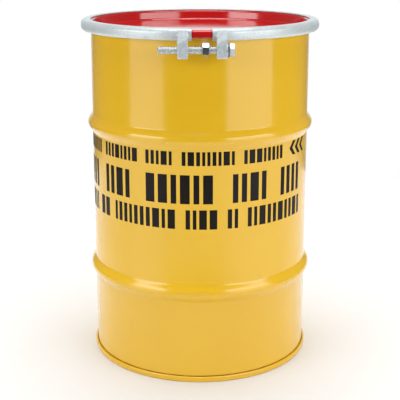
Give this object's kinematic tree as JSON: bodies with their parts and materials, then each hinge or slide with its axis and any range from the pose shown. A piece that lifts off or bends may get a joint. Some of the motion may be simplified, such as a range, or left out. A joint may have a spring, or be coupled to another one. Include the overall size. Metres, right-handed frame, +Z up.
{
  "type": "steel drum",
  "caption": "Open-head steel drum with rolling hoops, a recessed lift-off lid with gasket, and a split ring closed by a bolt through lugs.",
  "frame": {"origin": "on the drum's axis, in the plane it stands on", "axes": "+Z up along the drum's axis; -Y towards the closing ring's bolt; +X along the bolt, towards its head"},
  "size_m": [0.506, 0.5291, 0.73],
  "materials": {
    "yellow_enamel": "glossy baked enamel",
    "red_enamel": "glossy baked enamel",
    "galvanised_ring": "bright galvanised",
    "forged_zinc": "zinc-plated forging",
    "plated_fastener": "bright zinc plate",
    "gasket_rubber": "satin",
    "sealing_compound": "matt",
    "marking_ink": "screen-printed ink"
  },
  "bodies": {
    "drum": {"body_shell": "yellow_enamel", "bottom_head": "yellow_enamel", "seam_compound": "sealing_compound"},
    "lid_unit": {"lid": "red_enamel", "lid_gasket": "gasket_rubber"},
    "ring_unit": {"closing_ring": "galvanised_ring", "threaded_lug": "forged_zinc", "plain_lug": "forged_zinc", "lug_welds": "forged_zinc"},
    "washer_unit": {"flat_washer": "plated_fastener", "lock_washer": "plated_fastener"},
    "bolt_unit": {"closure_bolt": "plated_fastener"},
    "nut_unit": {"lock_nut": "plated_fastener"}
  },
  "joints": [
    {"name": "ring_lift", "type": "slide", "parent": "drum", "child": "ring_unit", "axis": [0, 0, 1], "range_m": [0, 0.3], "deforming": ["closing_ring"]},
    {"name": "lid_lift", "type": "slide", "parent": "drum", "child": "lid_unit", "axis": [0, 0, 1], "range_m": [0, 0.15]},
    {"name": "bolt_travel", "type": "slide", "parent": "ring_unit", "child": "washer_unit", "axis": [1, 0, 0], "range_m": [0, 0.0554]},
    {"name": "bolt_turn", "type": "hinge", "parent": "washer_unit", "child": "bolt_unit", "pos_m": [0, -0.262, 0.6905], "axis": [1, 0, 0], "range_deg": [0, 8640]},
    {"name": "nut_travel", "type": "slide", "parent": "ring_unit", "child": "nut_unit", "axis": [1, 0, 0], "range_m": [-0.0265, 0.0134]}
  ],
  "couplings": [
    {"joint": "lid_lift", "follows": "ring_lift", "ratio": 0.5},
    {"joint": "bolt_turn", "follows": "bolt_travel", "rad_per_m": 2721.1}
  ]
}
